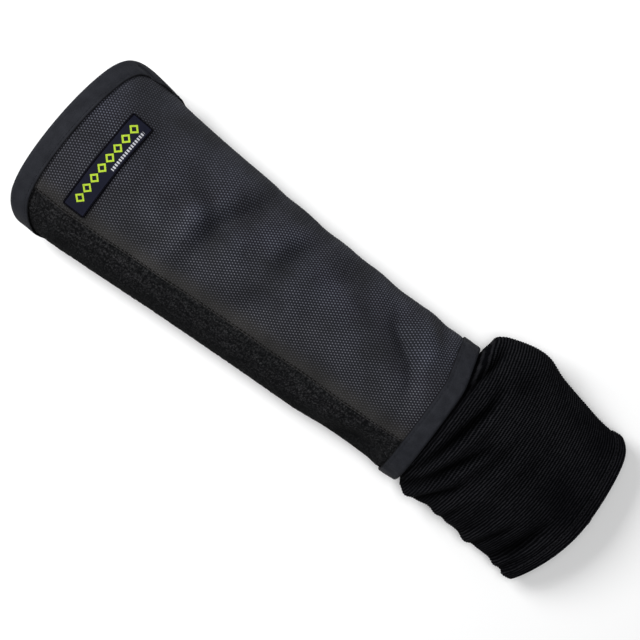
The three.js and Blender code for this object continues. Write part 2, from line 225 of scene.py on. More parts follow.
# Dents and ridges: along and across as shares of the tube there, turn in degrees, and the rest as shares of
# the wrist's width.
BODY_DENTS = (
    # along, across, turn, long, broad, rise
    (0.33, -0.25, 75, 0.22, 0.14, 0.014),
    (0.38, 0.05, 82, 0.22, 0.08, -0.03),
    (0.42, 0.5, 60, 0.26, 0.08, -0.035),
    (0.56, 0.65, 70, 0.2, 0.13, -0.03),
    (0.67, 0.63, 80, 0.18, 0.11, -0.025),
    (0.55, -0.32, 60, 0.16, 0.13, -0.02),
    (0.84, 0.47, -50, 0.3, 0.08, -0.035),
    (0.88, 0.82, -50, 0.14, 0.08, 0.015),
    (0.91, -0.85, 10, 0.26, 0.1, -0.04),
)
# Sharper folds of the cloth, each a breadth and a line of places with the fold's depth there. A ridge has
# depths below 0.
BODY_CREASES = (
    # breadth, then x, y, depth
    (10.0, ((112, -30, 0), (119, -18, -1.6), (122, -7, -3.8), (121, 6, -3.8), (118, 22, 0))),
    (
        12.0,
        ((98, -44, 0), (112, -34, -1.8), (124, -26, -2.6), (139, -19, -2.2), (166, -12, -1.5), (192, -6, 0)),
    ),
    (8.0, ((139, -13, 0), (137, -5, 1.8), (137, 6, 3.4), (143, 21, 3.6), (155, 42, 2.4), (160, 52, 0))),
    (8.0, ((96, 48, 0), (109, 34, 2.2), (124, 21, 2.4), (134, 10, 0))),
    (7.5, ((190, 0, 0), (192, 18, 2.4), (196, 30, 2.8), (204, 44, 1.8), (209, 52, 0))),
    (8.0, ((176, 10, 0), (178, 26, -1.4), (186, 42, -1.2), (192, 52, 0))),
    (7.0, ((222, 45, 0), (238, 38, 2.0), (262, 29, 1.4), (272, 24, 0))),
    (10.0, ((168, -26, 0), (186, -21, 2.2), (204, -17, 1.2), (214, -15, 0))),
    (4.6, ((272, 33, 0), (288, 26, 2.2), (305, 15, 2.8), (314, 2, 2.4), (318, -14, 0))),
    (7.0, ((288, 48, 0), (302, 38, -2.0), (313, 28, -1.8), (322, 16, 0))),
    (5.0, ((306, 50, 0), (318, 41, 2.2), (327, 33, 0))),
    (5.0, ((256, -66, 0), (280, -63, 2.0), (305, -59, 3.2), (324, -57, 2.6), (336, -56, 0.4))),
    (11.0, ((30, 56, 0), (50, 50, 1.8), (74, 41, 2.2), (100, 32, 1.4), (110, 28, 0))),
    (9.0, ((60, -20, 0), (78, -14, -1.2), (96, -6, -1.4), (106, 2, 0))),
)
CREASE_LIP = 0.2  # the cloth stands up beside a crease by this share of its depth
CREASE_LIP_PLACE = 2.0  # this many breadths away
DEEP_CREASE = 4.0  # a crease of this depth keeps out most of the light
RIDGE_HIGHLIGHT = 2.2  # how much more a ridge gets a painted highlight than a crease of its size gets painted shade
# The cloth's slow unevenness: wave number along and across, phase and height
SLOW_WAVES = (
    (0.13, 0.07, 0.4, 0.4),
    (0.09, -0.13, 2.1, 0.4),
    (-0.05, 0.16, 4.0, 0.3),
    (0.21, 0.04, 1.2, 0.2),
)
SLOW_WAVES_FADE = (0.05, 0.6)  # sines of the angles between which it fades down the sides

FLOAT_PITCH = 2.2  # across, from one float of the weave to the next
WEFT_PITCH = 1.9  # along, from one row of floats to the next
FLOAT_RISE = 0.22
FLOAT_SPREAD = (0.7, 1.3)  # the least and the most rise of a float, as shares of that
INSIDE_RELIEF = 0.4  # how much of it shows inside the sleeve
GIRTH_STEPS = 400  # places round a panel at which its girth is measured
PANEL_SEED = 4
TAPE_PRESS = 0.7
TAPE_PRESS_REACH = 1.3
SEAM_PRESS = 0.8
SEAM_PRESS_REACH = 1.7
SNAP_SHARE = 0.4  # a yarn this near to the cut edge ends on it
WEAVE_LINE = math.radians(90)  # the weave's lines are counted from here
GAP_COLOUR = (0.0042, 0.0047, 0.0082)
FLOAT_COLOUR = (0.071, 0.0755, 0.099)
FLAT_COLOUR = (0.0168, 0.0161, 0.0158)
FLAT_STRIP = (4.0, 18.0)  # the cloth is pressed flat from the seam that shows to here
FLATNESS = 0.7  # by this share of its relief
WARM_TINT = (1.04, 1.0, 0.91)
WARM_STRIP = (8.0, 70.0)  # and looks a little browner, fading out by here
NO_TINT = (1.0, 1.0, 1.0)
SHADED_SIDE_REACH = (75.0, 115.0)  # past these distances from the seam the +Y side gets painted shade: the floats stand out less, and the cloth is darker
WEAVE_RELIEF = 0.0003  # metres, as the other reliefs are


def read_table(table, column, place):
    """A column of a table, read smoothly through its rows at places in its first column."""
    keys = np.array(next(iter(table.values())), float)
    values = np.array(table[column], float)
    first = np.maximum(np.arange(len(keys)) - 1, 0)
    last = np.minimum(np.arange(len(keys)) + 1, len(keys) - 1)
    slopes = (values[last] - values[first]) / (keys[last] - keys[first])
    at = np.clip(place, keys[0], keys[-1])
    row = np.clip(np.searchsorted(keys, at) - 1, 0, len(keys) - 2)
    span = keys[row + 1] - keys[row]
    t = (at - keys[row]) / span
    return (
        values[row] * (1 + 2 * t) * (1 - t) ** 2
        + slopes[row] * span * t * (1 - t) ** 2
        + values[row + 1] * t * t * (3 - 2 * t)
        + slopes[row + 1] * span * t * t * (t - 1)
    )


def smooth(value, low, high):
    """0 below low, 1 above high, and a smooth rise between them."""
    t = np.clip((value - low) / (high - low), 0, 1)
    return t * t * (3 - 2 * t)


def lerp(first, second, share):
    """The value that lies a share of the way from the first to the second."""
    return first + (second - first) * share


def dents_at(rows, x, y, length, half_width, shift):
    """The sum of a table's dents at places in plan."""
    rise = 0
    for along, across, turn, long, broad, depth in rows:
        along_x = x - along * length
        across_y = y - shift - across * half_width
        cosine = math.cos(math.radians(turn))
        sine = math.sin(math.radians(turn))
        on_length = (along_x * cosine + across_y * sine) / (long * WRIST_WIDTH)
        on_breadth = (across_y * cosine - along_x * sine) / (broad * WRIST_WIDTH)
        rise = rise + depth * WRIST_WIDTH * np.exp(-(on_length**2) - on_breadth**2)
    return rise


def creases_at(creases, x, y):
    """The sum of a table's creases at places in plan."""
    rise = 0
    for breadth, line in creases:
        nearest = np.full(np.broadcast(x, y).shape, np.inf)
        depth = np.zeros(nearest.shape)
        for (x0, y0, depth0), (x1, y1, depth1) in zip(line, line[1:]):
            run = (x1 - x0) ** 2 + (y1 - y0) ** 2
            share = np.clip(((x - x0) * (x1 - x0) + (y - y0) * (y1 - y0)) / run, 0, 1)
            away = np.hypot(x - lerp(x0, x1, share), y - lerp(y0, y1, share))
            closer = away < nearest
            nearest = np.where(closer, away, nearest)
            depth = np.where(closer, lerp(depth0, depth1, share), depth)
        dip = np.exp(-((nearest / breadth) ** 2))
        lip = np.exp(-((nearest / breadth - CREASE_LIP_PLACE) ** 2))
        rise = rise + depth * (CREASE_LIP * lip - dip)
    return rise


def normal_of(surface, x, angle):
    """Outward unit normals of a surface given as a function of x and angle."""
    turn = STEP / WRIST_WIDTH
    along = surface(x + STEP, angle) - surface(x - STEP, angle)
    around = surface(x, angle + turn) - surface(x, angle - turn)
    normal = np.cross(around, along)
    return normal / np.linalg.norm(normal, axis=-1, keepdims=True)


def under(surface, x, angle, depth):
    """Points a depth inside a surface, or outside it where the depth is negative."""
    return surface(x, angle) - normal_of(surface, x, angle) * np.asarray(depth, float)[..., None]


def eased_max(first, second, reach):
    """The larger of two values, with a round corner where they meet."""
    near = np.maximum(reach - np.abs(first - second), 0) / reach
    return np.maximum(first, second) + near * near * reach / 4


def lying_section(x, angle, outer, inner, high, floor):
    """A section of a soft tube that lies on the table: an ellipse above, a flattened one below."""
    y = (outer + inner) / 2 + (outer - inner) / 2 * np.cos(angle)
    waist = WAIST_SHARE * high
    rise = np.sin(angle)
    z = np.where(rise > 0, waist + (high - waist) * rise, waist * (1 + BELLY_SHARE * rise))
    z = eased_max(z, floor, EASE_SHARE * waist)
    return np.stack(np.broadcast_arrays(x, y, z), -1).astype(float)


def top_share(angle):
    """How much of the dents there is: none underneath and all of them above."""
    return smooth(np.sin(angle), DENTS_END, DENTS_FULL)


def twist_at(x):
    """How far the tube is turned about its length, more towards the wrist."""
    return TUBE_TWIST * np.clip(x / BODY_LENGTH, 0, 1)


def body_size(x):
    """The tube's half width, its height and how far its middle is shifted to +Y."""
    share = x / BODY_LENGTH
    wide = read_table(BODY_SECTIONS, "wide", share)
    half_width = lerp(WRIST_WIDTH, RIM_WIDTH, wide) / 2
    high = lerp(WRIST_HEIGHT, RIM_HEIGHT, wide)
    return half_width, high, read_table(BODY_SECTIONS, "shift", share) * WRIST_WIDTH


def rim_edge(angle):
    """The x of the upper edge, which is cut back underneath."""
    return RIM_SLANT * read_table(RIM_LINE, "back", (np.degrees(angle) + 90) % 360 - 90)


def wrist_edge(angle):
    """The x of the wrist edge, which dips back on the +Y side."""
    sideways = np.cos(angle + TUBE_TWIST)
    return BODY_LENGTH - WRIST_DIP * smooth(sideways, math.cos(WRIST_DIP_REACH), 1)


def past_tapes(x, angle):
    """How far a place lies from the nearer tape, along the sleeve."""
    return np.minimum(x - rim_edge(angle), wrist_edge(angle) - x) - TAPE_WIDTH


def smooth_body(x, angle):
    """The face of the tube without its dents."""
    half_width, high, shift = body_size(x)
    floor = lerp(TAPE_OUTSIDE, -UNDER_DROP, smooth(past_tapes(x, angle), REST_START, REST_END))
    return lying_section(x, angle + twist_at(x), shift + half_width, shift - half_width, high, floor)


def body(x, angle):
    """The outer face of the tube."""
    point = smooth_body(x, angle)
    y = point[..., 1]
    half_width, _, shift = body_size(x)
    slow = sum(high * np.sin(ahead * x + aside * y + phase) for ahead, aside, phase, high in SLOW_WAVES)
    slow = slow * smooth(np.sin(angle + twist_at(x)), *SLOW_WAVES_FADE)
    rise = dents_at(BODY_DENTS, x, y, BODY_LENGTH, half_width, shift)
    rise = rise + creases_at(BODY_CREASES, x, y) + slow
    rise = rise * top_share(angle) * smooth(past_tapes(x, angle), 0, TAPE_WIDTH)
    return point + normal_of(smooth_body, x, angle) * rise[..., None]


def shade_of(creases, surface, x, angle):
    """How much painted shade the creases get, up to 1, and below 0 on the ridges, which get a painted
    highlight.
    """
    shade = -creases_at(creases, x, surface(x, angle)[..., 1]) / DEEP_CREASE
    return np.minimum(np.minimum(shade, RIDGE_HIGHLIGHT * shade), 1) * top_share(angle)


def merged_cloth(name, outer, inner, cloth, material, ridges=None, marks=None):
    """A closed mesh from grids of points: the outer face, the inner one unless the outer closes on itself,
    and the cloth's lengths. Points that coincide are joined. ridges says which diagonal each cell is cut
    along, and marks names further values on the points."""
    rows, columns = outer.shape[:2]
    at = np.arange(rows * columns).reshape(rows, columns)
    a, b, c, d = (part.ravel() for part in (at[:-1, :-1], at[:-1, 1:], at[1:, 1:], at[1:, :-1]))
    cut = np.zeros(len(a), bool) if ridges is None else ridges[:-1, :-1].ravel()
    one = np.where(cut, (a, b, d), (a, b, c)).T
    two = np.where(cut, (b, c, d), (a, c, d)).T
    corners = np.concatenate([one, two])
    flat = outer.reshape(-1, 3)
    _, first, same = np.unique(np.round(flat, 3), axis=0, return_index=True, return_inverse=True)
    same = same.ravel()
    joined = same[corners]
    after = np.roll(joined, -1, axis=1)
    whole = (joined != after).all(axis=1)
    corners = corners[whole]
    points = flat[first]
    triangles = same[corners]
    lengths = cloth.reshape(-1, 2)
    maps = [lengths[corners]]
    if inner is not None:
        count = len(points)
        points = np.concatenate([points, inner.reshape(-1, 3)[first]])
        start = triangles.ravel()
        end = np.roll(triangles, -1, axis=1).ravel()
        open_edge = ~np.isin(start * count + end, end * count + start)
        p = corners.ravel()[open_edge]
        q = np.roll(corners, -1, axis=1).ravel()[open_edge]
        near_side = np.stack([same[q], same[p], same[p] + count], -1)
        far_side = np.stack([same[q], same[p] + count, same[q] + count], -1)
        for places in (corners[:, ::-1], np.stack([q, p, p], -1), np.stack([q, p, q], -1)):
            maps.append(lengths[places])
        triangles = np.concatenate([triangles, triangles[:, ::-1] + count, near_side, far_side])
    mesh = bpy.data.meshes.new(name)
    mesh.from_pydata((points - MIDDLE) / 1000, [], triangles)
    mesh.uv_layers.new(name="Cloth").uv.foreach_set("vector", np.concatenate(maps).ravel().astype(np.float32))
    mesh.polygons.foreach_set("use_smooth", np.ones(len(triangles), bool))
    mesh.set_sharp_from_angle(angle=math.radians(60))
    for mark, values in (marks or {}).items():
        attribute = mesh.attributes.new(mark, "FLOAT", "POINT")
        layers = len(points) // len(first)
        attribute.data.foreach_set("value", np.tile(values.ravel()[first], layers).astype(np.float32))
    mesh.materials.append(material)
    return placed(name, mesh)


def measured_round(surface, rows, angles, zero):
    """How far each angle lies round the surface from the line at the angle zero, on each row."""
    points = surface(rows[:, None], angles[None, :])[..., 1:]
    steps = np.linalg.norm(np.diff(points, axis=1), axis=-1)
    far = np.concatenate([np.zeros((len(rows), 1)), np.cumsum(steps, axis=1)], axis=1)
    return far - np.array([np.interp(zero, angles, row) for row in far])[:, None]


def panel_grid(angles, pitch_round, pitch_along, gap):
    """A grid of yarns on a panel of the tube, which ends on the panel's cut edges: the x and angle of each
    place, the cloth's lengths there, whether it lies inside, how far it is from both seams, and whether a
    float lies on it. Yarns run straight along the sleeve and straight across it."""
    rows = np.arange(0, BODY_LENGTH + pitch_along, pitch_along)
    far = measured_round(smooth_body, rows, angles, WEAVE_LINE)
    low = far[:, :1] + gap / 2
    high = far[:, -1:] - gap / 2
    numbers = np.arange(math.floor(low.min() / pitch_round), math.ceil(high.max() / pitch_round) + 1)
    columns = numbers * pitch_round
    floats = (np.arange(len(rows))[:, None] + numbers) % 2 == 0
    snap = SNAP_SHARE * pitch_round
    u = np.where(columns < low + snap, low, np.where(columns > high - snap, high, columns))
    angle = np.stack([np.interp(u[row], far[row], angles) for row in range(len(rows))])
    x = np.broadcast_to(rows[:, None], angle.shape).copy()
    inside = np.ones(angle.shape, bool)
    for edge, sign in ((rim_edge, 1), (wrist_edge, -1)):
        past = sign * (x - edge(angle))
        for column in range(angle.shape[1]):
            order = np.arange(len(rows))[::sign]
            first = np.argmax(past[order, column] > 0)
            here, before = order[first], order[max(first - 1, 0)]
            share = past[here, column] / max(past[here, column] - past[before, column], 1e-9)
            cut = order[:first]
            x[cut, column] = lerp(x[here, column], x[before, column], share)
            angle[cut, column] = lerp(angle[here, column], angle[before, column], share)
            inside[cut, column] = False
    inside &= (u > low) & (u < high)
    return x, angle, np.stack([u, x], -1), inside, u - low, high - u, floats


def beside_tapes(x, angle):
    """The cloth is pressed down along the tapes' edges."""
    return TAPE_PRESS * np.exp(-((past_tapes(x, angle) / TAPE_PRESS_REACH) ** 2))


def cloth_map(shader):
    """The cloth's own lengths in millimetres: round the tube, along it, and both as one vector."""
    both = added_node(shader.id_data, "ShaderNodeUVMap", {}, uv_map="Cloth").outputs["UV"]
    parts = added_node(shader.id_data, "ShaderNodeSeparateXYZ", {0: both})
    return parts.outputs["X"], parts.outputs["Y"], both


def cosine_wave(value, pitch):
    """A wave of a given pitch, from -1 to 1, that is 1 where the value is 0."""
    return number_node("COSINE", scaled(value, 2 * math.pi / pitch))


def mark_node(shader, name):
    """One of the values kept on a mesh's points."""
    return added_node(shader.id_data, "ShaderNodeAttribute", {}, attribute_name=name).outputs["Fac"]


def unshaded(shader, share):
    """The light that is left where a share of the mark named shade is taken away."""
    return scaled(mark_node(shader, "shade"), -share, 1.0)


weave, weave_shader = plain_material("guard_weave", 0.6)
weave_u, weave_v, weave_uv = cloth_map(weave_shader)
to_seam_mark = mark_node(weave_shader, "from_seam")
# Floats lie like a chequerboard's fields, and each is a bit lighter or darker than the next.
chequers = scaled(cosine_wave(weave_u, FLOAT_PITCH), cosine_wave(weave_v, 2 * WEFT_PITCH))
row_light = eased_step(cosine_wave(weave_v, WEFT_PITCH), -1.1, 0.6)
float_share = scaled(eased_step(chequers, -0.1, 0.85), row_light)
weave_share = scaled(float_share, scaled(speckle(weave_uv, 0.33, 3.0), 1.8, 0.15))
# Painted shade on the +Y side: there the floats stand out less and the cloth is darker.
shaded_side = scaled(eased_step(to_seam_mark, *SHADED_SIDE_REACH), 0.5)
weave_share = scaled(weave_share, scaled(shaded_side, -1.0, 1.0), scaled(shaded_side, 0.27))
# Large patches are worn lighter; the folds get painted shade, the ridges a painted highlight, and the +Y side
# painted shade.
worn = eased_step(speckle(weave_uv, 0.03, 4.0), 0.25, 0.75)
weave_light = scaled(scaled(worn, 0.75, 0.55), unshaded(weave_shader, 0.3))
side_shade = scaled(shaded_side, scaled(worn, -0.4, 0.95))
weave_light = scaled(weave_light, scaled(side_shade, -1.0, 1.06))
flat_share = scaled(eased_step(to_seam_mark, *FLAT_STRIP), -0.75, 0.75)
weave_colour = mixed_colour(weave_share, GAP_COLOUR, FLOAT_COLOUR)
weave_colour = mixed_colour(flat_share, weave_colour, FLAT_COLOUR)
tint = mixed_colour(eased_step(to_seam_mark, *WARM_STRIP), WARM_TINT, NO_TINT)
tinting = {0: weave_colour, 1: tint}
tinted = added_node(weave_shader.id_data, "ShaderNodeVectorMath", tinting, operation="MULTIPLY")
surfaced(
    weave_shader,
    scaled_colour(tinted.outputs[0], weave_light),
    height=scaled(speckle(weave_uv, 2.2), 0.5, float_share),
    relief=WEAVE_RELIEF,
    roughness=scaled(weave_share, -0.45, 0.88),
)

panel_angles = np.linspace(HIDDEN_SEAM, SEAM, GIRTH_STEPS)
panel_x, panel_angle, panel_cloth, in_panel, _, to_seam, floats = panel_grid(
    panel_angles, FLOAT_PITCH / 2, WEFT_PITCH, LAYER_GAP
)
random = np.random.default_rng(PANEL_SEED)
uneven_rise = random.uniform(*FLOAT_SPREAD, panel_x.shape)
float_rise = FLOAT_RISE * np.where(floats, 1.0, -1.0) * uneven_rise * in_panel
flattened = FLATNESS * (1 - smooth(to_seam, *FLAT_STRIP))
pressed = beside_tapes(panel_x, panel_angle) + SEAM_PRESS * np.exp(-((to_seam / SEAM_PRESS_REACH) ** 2))
outer_panel = merged_cloth(
    "guard_cloth",
    under(body, panel_x, panel_angle, pressed - float_rise * (1 - flattened)),
    under(body, panel_x, panel_angle, PANEL_WALL + INSIDE_RELIEF * float_rise),
    panel_cloth,
    weave,
    ridges=floats,
    marks={"from_seam": to_seam, "shade": shade_of(BODY_CREASES, smooth_body, panel_x, panel_angle)},
)
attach(outer_panel, "root")
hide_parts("outer_panel")

# The under panel.
# The underside is a softer, thinner cloth with a rough looped face. It shows along the sleeve's lower left
# side, where the guard cloth's edge is sewn down on it.
LOOP_PITCH = 1.5
LOOP_RISE = 0.3
LOOP_SEED = 9
PILE_RELIEF = 0.0005
UNDER_COLOUR = (0.0032, 0.0034, 0.0038)
LOOP_COLOUR = (0.043, 0.043, 0.045)
SHADE_BELOW_SEAM = (9.0, 26.0)  # painted shade towards the table grows between these distances below the seam
PILE_SHADE = 0.75  # and keeps out this share of the light
PILE_START = (-2, 3)  # its relief starts between these, past the tapes

looped, looped_shader = plain_material("looped_cloth", 0.95, specular=0.05)
looped_u, looped_v, looped_uv = cloth_map(looped_shader)
cells = {"Vector": looped_uv, "Scale": 0.72, "Randomness": 0.7}
loops = added_node(looped_shader.id_data, "ShaderNodeTexVoronoi", cells, feature="SMOOTH_F1")
loop_tops = eased_step(loops.outputs["Distance"], 0.62, 0.1)
lengthwise = {"X": scaled(looped_u, 0.45), "Y": scaled(looped_v, 0.05)}
stretched = added_node(looped_shader.id_data, "ShaderNodeCombineXYZ", lengthwise).outputs[0]
streaks = eased_step(speckle(stretched, 1.0, 3.0), 0.3, 0.72)
loop_light = scaled(loop_tops, speckle(looped_uv, 0.9, 3.0))
loop_light = scaled(loop_light, scaled(streaks, 1.1, 0.45))
loop_light = scaled(loop_light, unshaded(looped_shader, 0.8))
surfaced(looped_shader, mixed_colour(loop_light, UNDER_COLOUR, LOOP_COLOUR), loop_tops, PILE_RELIEF)

under_angles = np.linspace(SEAM, HIDDEN_SEAM + 2 * math.pi, GIRTH_STEPS)
under_x, under_angle, under_cloth, in_under, from_seam, _, _ = panel_grid(
    under_angles, LOOP_PITCH, LOOP_PITCH, LAYER_GAP
)
random = np.random.default_rng(LOOP_SEED)
clear_of_tapes = smooth(past_tapes(under_x, under_angle), *PILE_START)
loop_rise = LOOP_RISE * random.uniform(-1, 1, under_x.shape) * in_under * clear_of_tapes
sunk = beside_tapes(under_x, under_angle) + SEAM_PRESS * np.exp(-((from_seam / SEAM_PRESS_REACH) ** 2))
sunk = (sunk - loop_rise) * top_share(under_angle)
# Painted shade, darker down the side towards the table.
shade_towards_table = PILE_SHADE * smooth(from_seam, *SHADE_BELOW_SEAM)
under_panel = merged_cloth(
    "looped_cloth",
    under(body, under_x, under_angle, UNDER_DROP + sunk),
    under(body, under_x, under_angle, PANEL_WALL),
    under_cloth,
    looped,
    marks={"shade": np.maximum(shade_of(BODY_CREASES, smooth_body, under_x, under_angle), shade_towards_table)},
)
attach(under_panel, "root")
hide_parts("under_panel")

# The bindings.
# Each edge of the tube is bound with smooth woven tape, folded over the edge and sewn through with one line
# of stitches.
TAPE_COLUMNS = 420
TAPE_ROWS = 14
FOLD_ROWS = 8
TAPE_EDGE_ROUND = 0.45
TAPE_SEAM_PLACE = 2.6  # the stitch line, from the tape's inner edge
RIM_SEAM_DEPTH = 0.15
WRIST_SEAM_DEPTH = 0.35
TAPE_SEAM_BREADTH = 0.9
TAPE_SHADOW = (1.1, 0.2)  # a painted shadow line starts and is full at these distances from the tape's inner edge
TAPE_RELIEF = 0.00015
TAPE_COLOUR = (0.0075, 0.0082, 0.0108)
TAPE_LIGHT = (0.0235, 0.0248, 0.0305)
# Small puckers where the rim's tape turns down the +Y side
PUCKERS = (
    # degrees round, degrees broad, rise
    (19, 1.7, -2.8),
    (13, 2.6, 0.7),
    (7, 1.8, -2.6),
    (1, 3.0, 0.5),
)
DEEP_PUCKER = 1.6  # a pucker of this depth gets full painted shade
PUCKER_REACH = 9  # puckers start at the cloth's edge and are full this far in
UNEVEN_FADE = (-0.5, 0)  # the tapes are flat underneath: sines of the angles between which they get so

tape, tape_shader = plain_material("binding_tape", 0.72, specular=0.08)
tape_u, tape_v, tape_uv = cloth_map(tape_shader)
tape_rib = cosine_wave(scaled(tape_v, 0.6, tape_u), 0.9)
tape_fuzz = scaled(speckle(tape_uv, 1.1), 0.9, -0.4)
tape_share = number_node("ADD", scaled(tape_rib, 0.22, speckle(tape_uv, 0.14, 5.0)), tape_fuzz)
tape_colour = scaled_colour(mixed_colour(tape_share, TAPE_COLOUR, TAPE_LIGHT), unshaded(tape_shader, 0.85))
surfaced(tape_shader, tape_colour, scaled(tape_rib, 0.3, speckle(tape_uv, 1.5)), TAPE_RELIEF)


def beside_edge(edge, angle, distance):
    """The x that lies a distance from an edge's line, measured square to it."""
    turn = STEP / WRIST_WIDTH
    at = edge(angle)
    ahead = body(at, angle + turn)[..., 1:] - body(at, angle - turn)[..., 1:]
    speed = np.linalg.norm(ahead, axis=-1) / (2 * turn)
    shares = np.linspace(-1, 1, 17).reshape(-1, *([1] * np.ndim(angle)))
    reaches = edge(angle + shares * distance / speed) + distance * np.sqrt(1 - shares * shares)
    return np.where(distance > 0, reaches.max(0), reaches.min(0))


def binding(name, edge, into, material, seam_depth, waves):
    """Folded tape over an edge of the tube. into is 1 where the cloth lies at a larger x than the edge and -1
    where it lies at a smaller one, and waves gives extra height at an angle and a distance along."""
    leg = np.linspace(0, TAPE_WIDTH, TAPE_ROWS + 1)
    half_turn = np.radians(np.linspace(-90, 90, FOLD_ROWS + 1))
    around = FOLD_REACH * np.cos(half_turn), PANEL_WALL / 2 + FOLD_REACH * np.sin(half_turn)
    fold_inside = FOLD_REACH - TAPE_WALL
    inside = fold_inside * np.cos(half_turn), PANEL_WALL / 2 + fold_inside * np.sin(half_turn)
    along = np.concatenate([leg[:0:-1], -around[0], leg[1:], leg[:0:-1], -inside[0][::-1], leg[1:]])
    depth = np.concatenate(
        [
            0 * leg[1:] - TAPE_OUTSIDE,
            around[1],
            0 * leg[1:] + TAPE_INSIDE + TAPE_WALL,
            0 * leg[1:] + TAPE_INSIDE,
            inside[1][::-1],
            0 * leg[1:] - LAYER_GAP,
        ]
    )
    outside = np.concatenate([np.ones(TAPE_ROWS), np.zeros(len(along) - TAPE_ROWS)])
    groove = np.exp(-(((along - TAPE_WIDTH + TAPE_SEAM_PLACE) / TAPE_SEAM_BREADTH) ** 2))
    rounding = TAPE_EDGE_ROUND * smooth(along, TAPE_WIDTH - 1.0, TAPE_WIDTH) * outside
    depth = depth + seam_depth * groove * outside + rounding
    along = np.append(along, along[0])
    depth = np.append(depth, depth[0])
    lift = np.append(outside, outside[0])
    angles = np.linspace(HIDDEN_SEAM, HIDDEN_SEAM + 2 * math.pi, TAPE_COLUMNS + 1)
    if into > 0:
        along, depth, lift = along[::-1], depth[::-1], lift[::-1]
    grid_angle = np.broadcast_to(angles[None, :], (len(along), len(angles)))
    x = np.stack([beside_edge(edge, angles, into * one) for one in along])
    wave = waves(grid_angle, along[:, None]) * lift[:, None]
    raised = depth[:, None] - wave
    # Painted shade: a shadow line along the tape's inner edge and in the puckers' hollows.
    shadow_start, shadow_end = (TAPE_WIDTH - distance for distance in TAPE_SHADOW)
    at_edge = smooth(along, shadow_start, shadow_end)[:, None]
    shade = np.maximum(np.clip(-wave / DEEP_PUCKER, 0, 1), at_edge)
    points = under(body, np.clip(x, 0, BODY_LENGTH), grid_angle, raised)
    points[..., 0] = x
    points[:, -1] = points[:, 0]
    far = measured_round(smooth_body, np.array([edge(0.0)]), angles, 0.0)[0]
    cloth = np.stack(np.broadcast_arrays(far[None, :], along[:, None]), -1)
    return merged_cloth(name, points, None, cloth, material, marks={"shade": shade})


def rim_waves(angle, along):
    """The rim's tape is nearly smooth, with small puckers where it turns down the +Y side."""
    round_angle = (np.degrees(angle) + 90) % 360 - 90
    puckers = sum(rise * np.exp(-(((round_angle - place) / broad) ** 2)) for place, broad, rise in PUCKERS)
    slow = 0.12 * np.sin(7 * angle + 0.4 * along) + 0.08 * np.sin(19 * angle)
    return (puckers * smooth(along, 0, PUCKER_REACH) + slow) * smooth(np.sin(angle), *UNEVEN_FADE)


def wrist_waves(angle, along):
    """The wrist's tape is slightly uneven."""
    slow = 0.15 * np.sin(23 * angle + 0.3 * along) + 0.1 * np.sin(41 * angle + 1)
    return slow * smooth(np.sin(angle), *UNEVEN_FADE)


for piece_name, node, edge, into, seam_depth, waves, girth in (
    ("rim_tape", "rim_binding", rim_edge, 1, RIM_SEAM_DEPTH, rim_waves, 0.42),
    ("wrist_tape", "wrist_binding", wrist_edge, -1, WRIST_SEAM_DEPTH, wrist_waves, 0.29),
):
    piece = binding(piece_name, edge, into, tape, seam_depth, waves)
    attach(piece, "root")
    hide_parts(node)

# The knitted cuff.
# A tube of black rib knit is sewn in behind the wrist tape. It bunches up against the tape, runs out to the
# hand and ends in a turned hem.
CUFF_WALL = 1.6
CUFF_TUCK = 12
CUFF_BLOOM = 4.5  # past the tape the knit opens out to its own shape within this
HEM_WIDTH = 9
HEM_RISE = 0.8
HEM_LINE_DEPTH = 0.7
HEM_LINE_BREADTH = 1.2
CUFF_SHORT_OUTER = 6
CUFF_SHORT_INNER = 19
CORNER_SHORT = 8  # the end's +Y corner is rounded off by this
CORNER_SHARPNESS = 12
END_ROUND = 0.5
COURSE_PITCH = 2.15
COURSE_RISE = 0.42
COURSE_STEPS = 4  # rows of the mesh to a course
COURSES_FULL = 6  # past the tape the ridges grow to their full height within this
COURSES_FADE = (-0.6, -0.1)  # underneath they flatten out between these sines of the angle
WALE_PITCH = 1.5
CUFF_COLUMNS = 140
CUFF_INSIDE_RELIEF = 0.3
CUFF_GIRTH_PLACE = 60.0  # the knit's girth is measured this far past the wrist edge
KNIT_RELIEF = 0.0004
KNIT_RIDGE_HIGHLIGHT = -0.3  # the shade mark on the lightest ridges, which get a painted highlight
TUCK_SHADE = (1, 4)  # the knit comes out of the tape's shade between these
CUFF_COLOUR = (0.0008, 0.0009, 0.0013)
COURSE_COLOUR = (0.0165, 0.0165, 0.019)
CUFF_SECTIONS = {
    "along": [0, 0.05, 0.13, 0.24, 0.32, 0.42, 0.5, 0.6, 0.73, 0.82, 0.9, 1],
    "outer": [1.17, 1.255, 1.315, 1.365, 1.355, 1.265, 1.215, 1.163, 1.098, 1.075, 1.085, 1.07],
    "inner": [1.09, 1.15, 1.186, 1.144, 1.156, 1.173, 1.205, 1.22, 1.24, 1.265, 1.24, 1.2],
    "high": [0.94, 0.98, 1.0, 0.98, 0.94, 0.88, 0.83, 0.78, 0.7, 0.65, 0.61, 0.57],
}
# Folds of the knit, in the same way as the dents above
CUFF_FOLDS = (
    # along, across, turn, long, broad, rise
    (0.06, 0.85, 80, 0.14, 0.06, -0.05),
    (0.14, -0.66, 66, 0.26, 0.05, -0.04),
    (0.11, -0.15, 84, 0.3, 0.05, -0.035),
    (0.28, -0.95, 58, 0.25, 0.05, -0.03),
    (0.44, -1.1, 62, 0.24, 0.05, -0.02),
    (0.63, -1.15, 62, 0.22, 0.05, -0.025),
    (0.74, -0.81, 61, 0.22, 0.05, -0.04),
)
